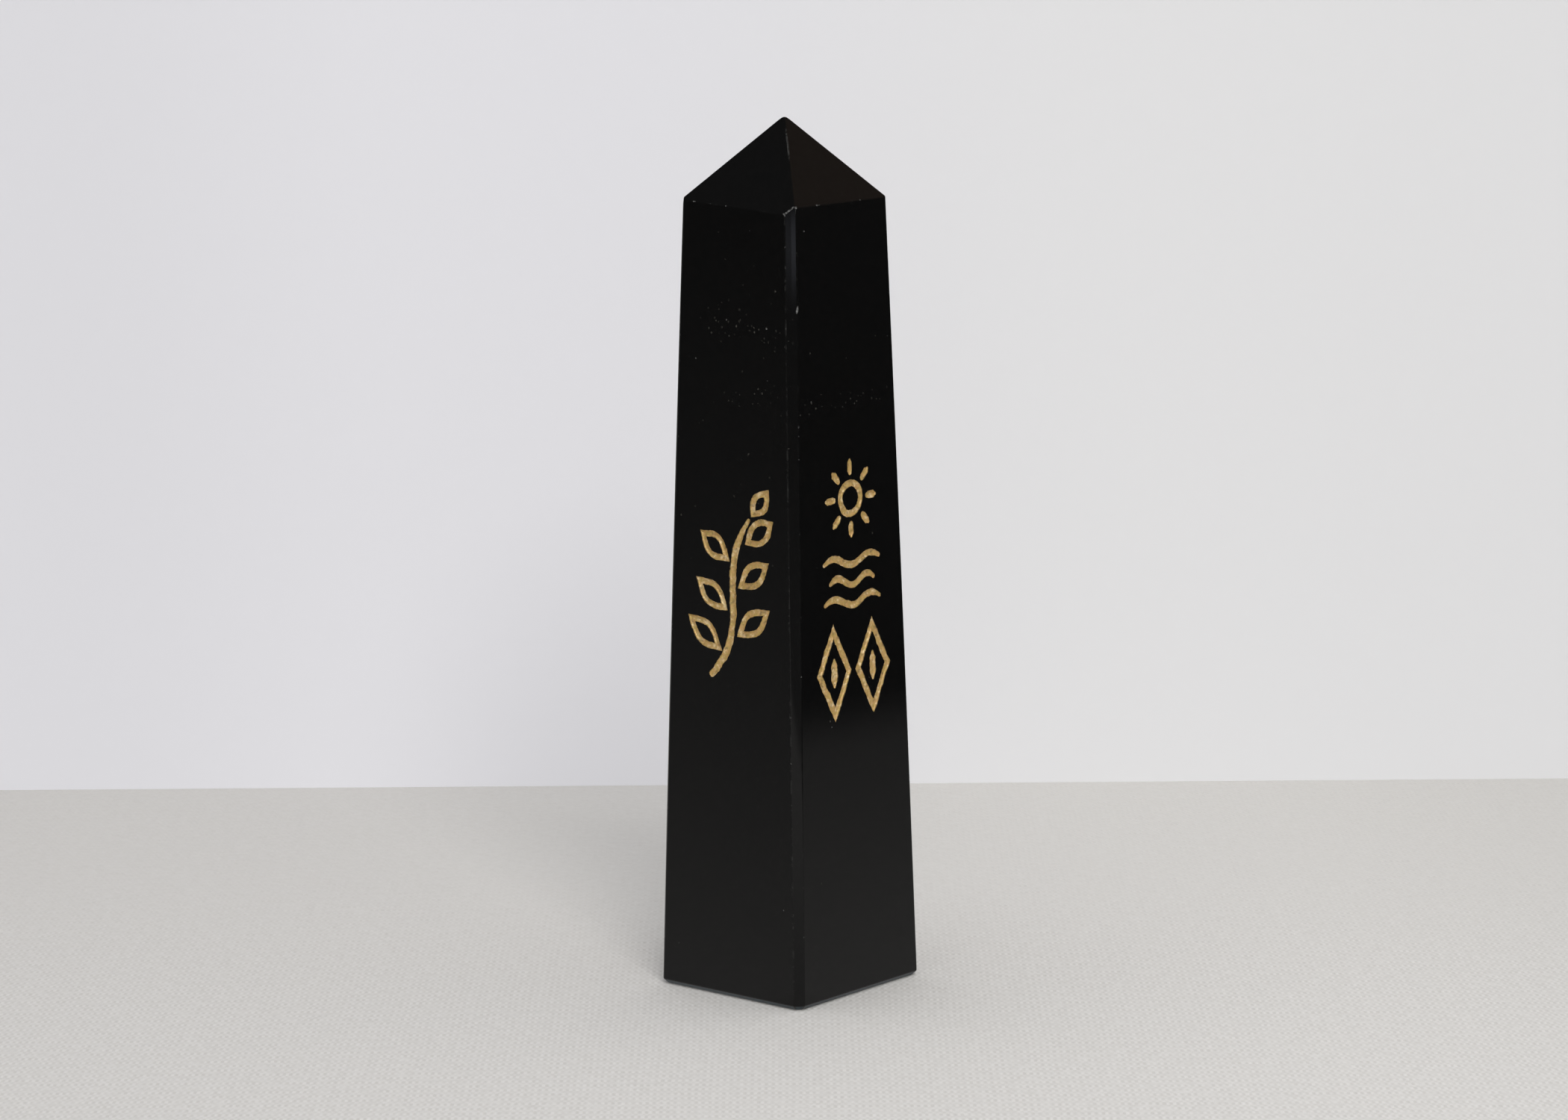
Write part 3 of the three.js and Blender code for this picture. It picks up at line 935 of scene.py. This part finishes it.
def chips_cutter():
    """Small bruises along the edges and pits in the faces, as one mesh."""
    rng = random.Random(11)
    points, faces, taken = [], [], []

    def bruise(spot, length, width, depth, lean=0.0):
        place, turn = spot
        radius = max(length, width) * 1.3
        if all((place - other).length > radius + room for other, room in taken):
            taken.append((place, radius))
            turn = turn @ Matrix.Rotation(lean, 3, "Z")
            pebble(points, faces, place, (length, width, depth), turn, rng)

    marked = (  # the chips that catch the eye: place, length, width, depth, lean
        (stone_edge("right", -1, 79.5), 0.52, 0.15, 0.12, -0.27),
        (stone_edge("right", -1, 66.4), 0.14, 0.11, 0.09),
        (shoulder_edge("right", -0.485), 0.17, 0.11, 0.1),
        (shoulder_edge("right", -0.44), 0.13, 0.05, 0.05),
        (shoulder_edge("right", 0.38), 0.08, 0.06, 0.05),
        (shoulder_edge("right", -0.9), 0.24, 0.19, 0.13, 0.5),
        (shoulder_edge("front", -0.7), 0.24, 0.06, 0.06),
        (shoulder_edge("front", -0.41), 0.1, 0.04, 0.04),
        (shoulder_edge("front", -0.14), 0.1, 0.08, 0.07),
        (on_side("right", -6.63, 88.1), 0.11, 0.09, 0.06),
        (on_side("front", 2.4, 88), 0.07, 0.06, 0.04),
        (on_side("right", -6.2, 69), 0.1, 0.07, 0.05),
        (on_side("front", -0.9, 77.8), 0.12, 0.06, 0.05, 1.2),
        (on_side("front", 5, 77.2), 0.12, 0.07, 0.05),
        (on_side("front", 5.2, 71.4), 0.1, 0.05, 0.04),
    )
    for spot, *size in marked:
        bruise(spot, *size)
    for side in FACES:
        for sign in (-1, 1):
            for _ in range(9):
                bruise(stone_edge(side, sign, rng.uniform(2, 89)), rng.uniform(0.05, 0.17),
                       rng.uniform(0.03, 0.06), rng.uniform(0.025, 0.045), rng.gauss(0, 0.15))
        bruise(shoulder_edge(side, rng.uniform(-0.85, 0.85)), rng.uniform(0.05, 0.09), 0.035, 0.03)
        for _ in range(3):
            y = rng.choice((rng.uniform(3, 33), rng.uniform(63, 90), rng.gauss(74, 5)))
            size = rng.uniform(0.03, 0.055)
            spot = on_side(side, rng.uniform(-0.82, 0.82) * FACES[side].across(y), y)
            bruise(spot, size * rng.uniform(1, 1.8), size, size * 0.5, rng.uniform(0, 3))
    cutter = mesh_object("chips_cutter", points, faces, [BROKEN])
    close_outward(cutter.data)
    return cutter


def facet_of_polygons(mesh, own):
    """For each polygon, the index of the stone plane that it lies in, or -1; and the points."""
    points = np.zeros(len(mesh.vertices) * 3)
    mesh.vertices.foreach_get("co", points)
    points = points.reshape(-1, 3) / MM
    stretch_x, stretch_y = crown_stretch(points[:, 2])
    straight = points.copy()
    straight[:, 0] /= stretch_x
    straight[:, 1] /= stretch_y
    facet = np.full(len(mesh.polygons), -1)
    for index, plane in enumerate(STONE_PLANES):
        away = (straight - np.array(plane.point)) @ np.array(plane.normal)
        near_plane = np.abs(away) < PLANE_MATCH
        for polygon in mesh.polygons:
            if polygon.material_index in own and facet[polygon.index] < 0:
                if all(near_plane[v] for v in polygon.vertices):
                    facet[polygon.index] = index
    return facet, points


def flat_normal(plane, point):
    """A corner flat's normal, turned towards the border that the point is nearer."""
    face = list(FACES.values())[CORNER_FLATS.index(plane)]
    z, inset = point[2], flat_reach(point[2]) / 2
    middle = face.at(face.across(z) - inset, inset - face.out(z), z)
    across = UP.cross(plane.normal).normalized()
    share = (Vector(point) - middle).dot(across) / (inset * math.sqrt(2))
    return plane.normal + across * (FLAT_BULGE * share)


def set_normals(mesh):
    """Exact normals on the flats, blended ones on the worn edges, and the cuts' own elsewhere."""
    mesh.shade_smooth()
    mesh.set_sharp_from_angle(angle=math.radians(38))
    own = {i for i, finish in enumerate(mesh.materials) if finish in STONE_MATERIALS}
    facet, points = facet_of_polygons(mesh, own)
    normals = np.zeros(len(mesh.loops) * 3)
    mesh.corner_normals.foreach_get("vector", normals)
    normals = normals.reshape(-1, 3)
    slope = crown_slope(points[:, 2])

    def facet_normal(index, v):
        plane = STONE_PLANES[index]
        if plane.kind == "corner":
            return flat_normal(plane, points[v]) - UP * (slope[v] * math.sqrt(2))
        if plane.kind == "side":
            return plane.normal - UP * slope[v]
        return plane.normal

    from_dome = points - np.array(DOME_CENTRE)
    on_dome = np.abs(np.linalg.norm(from_dome, axis=1) - TIP_RADIUS) < DOME_MATCH
    weighed = np.zeros((len(mesh.vertices), 3))
    for polygon in mesh.polygons:
        if polygon.material_index in own:
            index = facet[polygon.index]
            share = polygon.area * (1e6 if index < 0 else 1e7)
            for v in polygon.vertices:
                normal = polygon.normal if index < 0 else facet_normal(index, v)
                weighed[v] += np.array(normal) * share
    for polygon in mesh.polygons:
        if polygon.material_index not in own:
            continue
        index = facet[polygon.index]
        for loop, v in zip(polygon.loop_indices, polygon.vertices):
            if index >= 0:
                normal = np.array(facet_normal(index, v))
            elif on_dome[v]:
                normal = from_dome[v]
            else:
                normal = weighed[v]
            normals[loop] = normal / np.linalg.norm(normal)
    mesh.normals_split_custom_set(normals.tolist())


def engraved_stone():
    stone = blank_stone()
    cut_out(stone, groove_cutter())
    cut_out(stone, chips_cutter())
    set_normals(stone.data)
    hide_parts("stone_obelisk")
    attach(stone, "root")


engraved_stone()
fill_grooves()

# ---- The cloth, the backdrop and the light ----

FLOOR_REACH = 6  # metres from the stone's middle, like the other lengths here
SQUARE = ((-1, -1), (1, -1), (1, 1), (-1, 1))
MIRRORED_Z = -0.0005  # just under the cloth
WALL_BEHIND = 0.105  # from the stone's middle to the backdrop
WALL_HALF_WIDTH, WALL_HEIGHT = 1.6, 1.2
LIGHT_STRENGTH, LIGHT_SPREAD = 1.42, math.radians(26)
TO_LIGHT = Vector((0.61, -0.49, 0.62))
WARP_REPEAT = 0.000733  # one repeat of the weave across the threads that run ahead
WEFT_REPEAT = 0.0017  # coarser than a plain weave, so that it still shows at a low angle
FLAT_FACES = (0.76, -0.65, 0)  # the way that the front corner flat faces
RIGHT_OF_FLAT = (0.65, 0.76, 0)
MIRRORED_IN_RIGHT_TIP = (0.157, 0.745, 0.63)  # parts of the room that the point's faces show
MIRRORED_IN_FRONT_TIP = (-0.63, -0.175, 0.737)


def unevenness(n, at):
    """The cloth's thick and thin places."""
    return n.noise(at, 900, 3.0, 0.6)


def woven_cloth(n, at):
    """The cloth's weave, and its height with the unevenness, at places in metres."""
    along = n.dot(at, VIEW_ALONG)
    right = n.dot(at, VIEW_RIGHT)
    bend = n.times(n.noise(at, 60, 2.0), 0.0006)

    def threads(across, repeat):
        phase = n.times(n.plus(across, bend), 2 * math.pi / repeat)
        return n.math("SINE", phase)

    weft = threads(along, WEFT_REPEAT)
    weave = n.times(threads(right, WARP_REPEAT), n.plus(weft, 0.4))
    weave = n.times(weave, n.ramp(n.noise(at, 520, 2.0), 0.3, 0.7, 0.3, 1.6))
    return weave, n.plus(n.times(weave, 0.5), unevenness(n, at))


def cloth():
    made, n = material("pale_cloth")
    at = n.place()
    weave, height = woven_cloth(n, at)
    ahead = n.dot(at, -VIEW_ALONG)
    woven = n.times(weave, n.ramp(ahead, -0.06, 0.02, 0.01, 0.2))
    fluff = n.ramp(ahead, -0.06, 0.01, 0.3, 0.65)
    fluff = n.times(n.minus(unevenness(n, at), 0.5), fluff)
    shade = n.ramp(n.plus(woven, fluff), -0.3, 0.3)
    colour = n.blend(shade, (0.60, 0.584, 0.553, 1), (0.70, 0.685, 0.658, 1))
    # Painted light and shade: the cloth is painted a little brighter towards the front and the
    # right.
    right = n.dot(at, VIEW_RIGHT)
    level = n.ramp(right, -0.12, 0.06, 0.945, 1.045)
    level = n.times(level, n.ramp(right, 0.06, 0.11, 1.0, 0.96))
    level = n.times(level, n.ramp(ahead, -0.08, 0.06, 0.99, 1.05))
    painted_light_grey = n.add("ShaderNodeCombineColor", {0: level, 1: level, 2: level}).outputs[0]
    colour = n.blend(1.0, colour, painted_light_grey, "MULTIPLY")
    n.surface(**{"Base Color": colour, "Roughness": 0.75, "Specular IOR Level": 0.2,
                 "Normal": n.bump(height, 0.00005, 0.5)})
    return made


def backdrop_paper():
    """A pale backdrop, seen only from the side that faces the stone."""
    made, n = material("backdrop_paper")
    at = n.place()
    mottle = n.noise(at, 4, 3.0)
    colour = n.blend(mottle, (0.742, 0.739, 0.765, 1), (0.765, 0.762, 0.788, 1))
    right = n.dot(at, VIEW_RIGHT)
    # Painted light and shade: a band behind the stone is painted brighter, the backdrop to either
    # side darker.
    middle = n.times(n.ramp(right, -0.1, -0.05), n.ramp(right, 0.03, 0.11, 1.0, 0.3))
    painted_shade_sides = n.blend(1.0, colour, (0.94, 0.94, 0.94, 1), "MULTIPLY")
    colour = n.blend(middle, painted_shade_sides, colour)
    warmer = n.blend(1.0, colour, (1, 1.003, 0.975, 1), "MULTIPLY")
    colour = n.blend(n.ramp(right, -0.03, 0.05), colour, warmer)
    shader = n.add("ShaderNodeBsdfPrincipled", {"Base Color": colour, "Roughness": 0.9,
                                                "Specular IOR Level": 0.1})
    behind = n.add("ShaderNodeNewGeometry").outputs["Backfacing"]
    clear = n.add("ShaderNodeBsdfTransparent")
    mixed = n.add("ShaderNodeMixShader", {0: behind, 1: shader.outputs[0], 2: clear.outputs[0]})
    n.out(mixed.outputs[0])
    return made


def painted_reflection_glow():
    """What the polish mirrors, as a glowing sheet with painted light: the lit cloth near the stone,
    and the dim room beyond it.
    """
    made, n = material("painted_reflection_glow")
    at = n.place()
    reach = n.vector("LENGTH", at)
    bearing = n.vector("NORMALIZE", at)
    frontwards = n.dot(bearing, FLAT_FACES)
    rightwards = n.dot(bearing, RIGHT_OF_FLAT)
    ahead = n.ramp(frontwards, 0.7, 0.97)
    aside = n.ramp(rightwards, 0.3, 0.9, 1.0, 0.9)
    falloff = n.math("POWER", n.over(reach, 0.19), 1.3)
    glow = n.times(aside, n.over(0.54, n.plus(falloff, 1.0)))
    # The painted pool of light ends at the cloth's straight edge to the right; past it only the
    # floor ahead is painted lit.
    on_cloth = n.ramp(n.dot(at, (0.98, 0.2, 0)), 0.134, 0.182, 1.0, 0.0)
    even = n.ramp(reach, 0.02, 0.14, 0.45, 0.62)
    inside = n.plus(glow, n.times(ahead, n.minus(even, glow)))
    spread = n.math("POWER", n.over(reach, 0.5), 2.0)
    beyond = n.plus(0.03, n.over(0.17, n.plus(spread, 1.0)))
    outside = n.plus(0.01, n.times(ahead, beyond))
    gain = n.times(on_cloth, n.minus(inside, outside))
    strength = n.plus(outside, gain)
    strength = n.times(strength, n.ramp(unevenness(n, at), 0.2, 0.8, 0.93, 1.05))
    # A far window, painted in as glow, brighter on its right-hand side, which shows in the front
    # corner flat.
    pane = n.ramp(rightwards, -0.2, -0.15, 0.0, 0.4)
    pane = n.plus(pane, n.ramp(rightwards, 0.0, 0.04, 0.0, 0.5))
    pane = n.times(pane, n.ramp(rightwards, 0.125, 0.155, 1.0, 0.0))
    facing = n.math("GREATER_THAN", frontwards, 0.0)
    window = n.times(n.times(pane, facing), n.ramp(reach, 2.5, 3.7))
    window = n.times(window, n.ramp(reach, 3.6, 5.5, 0.85, 1.2))
    near_cloth = n.add("ShaderNodeEmission", {"Color": (1, 0.97, 0.94, 1), "Strength": strength})
    far = n.add("ShaderNodeEmission", {"Color": (0.82, 0.86, 1, 1), "Strength": window})
    both = n.add("ShaderNodeAddShader", {0: near_cloth.outputs[0], 1: far.outputs[0]})
    n.out(both.outputs[0])
    return made


def sheet_object(name, corners, finish):
    piece = mesh_object(name, np.array([tuple(c) for c in corners]) / MM, [(0, 1, 2, 3)], [finish])
    return piece


def level_square(z):
    return [Vector((x * FLOOR_REACH, y * FLOOR_REACH, z)) for x, y in SQUARE]


def set_stage():
    """What the camera sees is kept apart from what the polish mirrors."""
    floor = sheet_object("cloth", level_square(0), cloth())
    floor.visible_glossy = False
    # The glowing sheet under the cloth, seen only in reflections, carries the painted reflection of
    # the lit cloth and room.
    mirrored = sheet_object("painted_reflection_sheet", level_square(MIRRORED_Z), painted_reflection_glow())
    for ray in ("camera", "diffuse", "shadow", "transmission"):
        setattr(mirrored, f"visible_{ray}", False)
    foot = VIEW_ALONG * WALL_BEHIND
    wide, tall = VIEW_RIGHT * WALL_HALF_WIDTH, UP * WALL_HEIGHT
    corners = [foot - wide, foot + wide, foot + wide + tall, foot - wide + tall]
    wall = sheet_object("backdrop", corners, backdrop_paper())
    wall.visible_glossy = False


def soft_light():
    data = bpy.data.lights.new("soft_light", "SUN")
    data.energy = LIGHT_STRENGTH
    data.angle = LIGHT_SPREAD
    data.color = (1.0, 0.985, 0.97)
    light = bpy.data.objects.new("soft_light", data)
    light.rotation_euler = TO_LIGHT.normalized().to_track_quat("Z", "Y").to_euler()
    scene.collection.objects.link(light)


def surroundings():
    """Pale light all round, and the dim room that the polish mirrors."""
    world = bpy.data.worlds.new("studio")
    scene.world = world
    world.use_nodes = True
    n = Nodes(world.node_tree)
    direction = n.add("ShaderNodeTexCoord").outputs["Generated"]
    brown = n.ramp(n.dot(direction, MIRRORED_IN_RIGHT_TIP), 0.55, 0.95)
    plain = n.ramp(n.dot(direction, MIRRORED_IN_FRONT_TIP), 0.5, 0.95)
    room = n.blend(plain, grey(0.018), grey(0.05))
    room = n.blend(brown, room, (0.129, 0.090, 0.066, 1))
    path = n.add("ShaderNodeLightPath")
    colour = n.blend(path.outputs["Is Glossy Ray"], (0.70, 0.71, 0.735, 1), room)
    light = n.add("ShaderNodeBackground", {"Color": colour, "Strength": 1.0})
    n.out(light.outputs[0], "ShaderNodeOutputWorld")


set_stage()
soft_light()
surroundings()
scene.view_settings.view_transform = "Standard"
scene.view_settings.look = "None"
